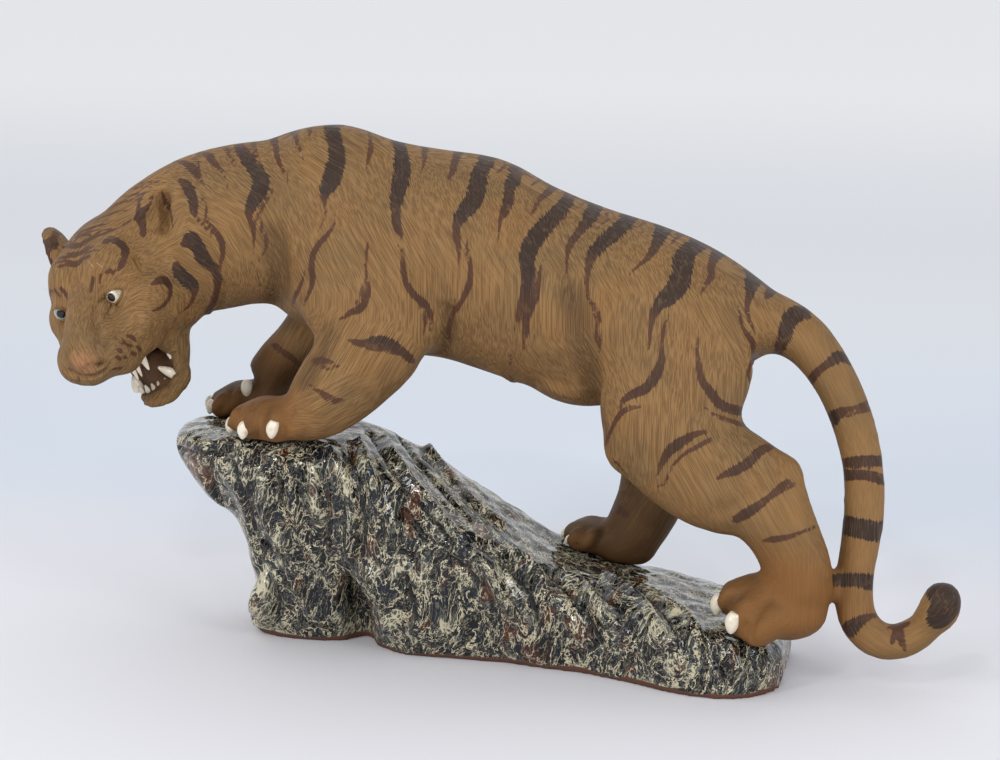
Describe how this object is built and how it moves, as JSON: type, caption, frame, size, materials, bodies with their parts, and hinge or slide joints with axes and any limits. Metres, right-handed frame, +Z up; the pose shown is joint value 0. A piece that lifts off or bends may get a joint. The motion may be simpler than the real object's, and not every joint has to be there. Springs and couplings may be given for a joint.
{
  "type": "tiger figurine",
  "caption": "Stoneware tiger, mouth open, walking down a glazed rock, with claws, teeth, eyes and brow bristles set into the clay.",
  "frame": {"origin": "on the rock's flat underside, below the middle of the tiger's trunk", "axes": "+X from the tiger's head to its tail, -Y the tiger's left side, +Z up from the surface that it stands on"},
  "size_m": [0.4496, 0.1191, 0.2538],
  "materials": {
    "stoneware": "matt unglazed carved clay with painted stripes",
    "rock_glaze": "glossy black glaze marbled with cream",
    "ivory_enamel": "satin ivory glaze",
    "eye_glaze": "glossy painted eye",
    "bristle": "pale flexible bristle"
  },
  "bodies": {
    "root": {"tiger": "stoneware", "rock_base": "rock_glaze", "eye_left": "eye_glaze", "eye_right": "eye_glaze", "brow_bristle_left_1": "bristle", "brow_bristle_left_2": "bristle", "brow_bristle_right_1": "bristle", "brow_bristle_right_2": "bristle", "claw_fore_left_1": "ivory_enamel", "claw_fore_left_2": "ivory_enamel", "claw_fore_left_3": "ivory_enamel", "claw_fore_left_4": "ivory_enamel", "claw_fore_right_1": "ivory_enamel", "claw_fore_right_2": "ivory_enamel", "claw_fore_right_3": "ivory_enamel", "claw_fore_right_4": "ivory_enamel", "claw_hind_left_1": "ivory_enamel", "claw_hind_left_2": "ivory_enamel", "claw_hind_left_3": "ivory_enamel", "claw_hind_left_4": "ivory_enamel", "claw_hind_right_1": "ivory_enamel", "claw_hind_right_2": "ivory_enamel", "claw_hind_right_3": "ivory_enamel", "claw_hind_right_4": "ivory_enamel", "dew_claw_fore_right": "ivory_enamel", "upper_canine_left": "ivory_enamel", "upper_canine_right": "ivory_enamel", "upper_incisor_left_1": "ivory_enamel", "upper_incisor_left_2": "ivory_enamel", "upper_incisor_right_1": "ivory_enamel", "upper_incisor_right_2": "ivory_enamel", "upper_molar_left": "ivory_enamel", "upper_molar_right": "ivory_enamel", "lower_canine_left": "ivory_enamel", "lower_canine_right": "ivory_enamel", "lower_incisor_1": "ivory_enamel", "lower_incisor_2": "ivory_enamel", "lower_incisor_3": "ivory_enamel", "lower_incisor_4": "ivory_enamel", "lower_incisor_5": "ivory_enamel"}
  },
  "joints": []
}
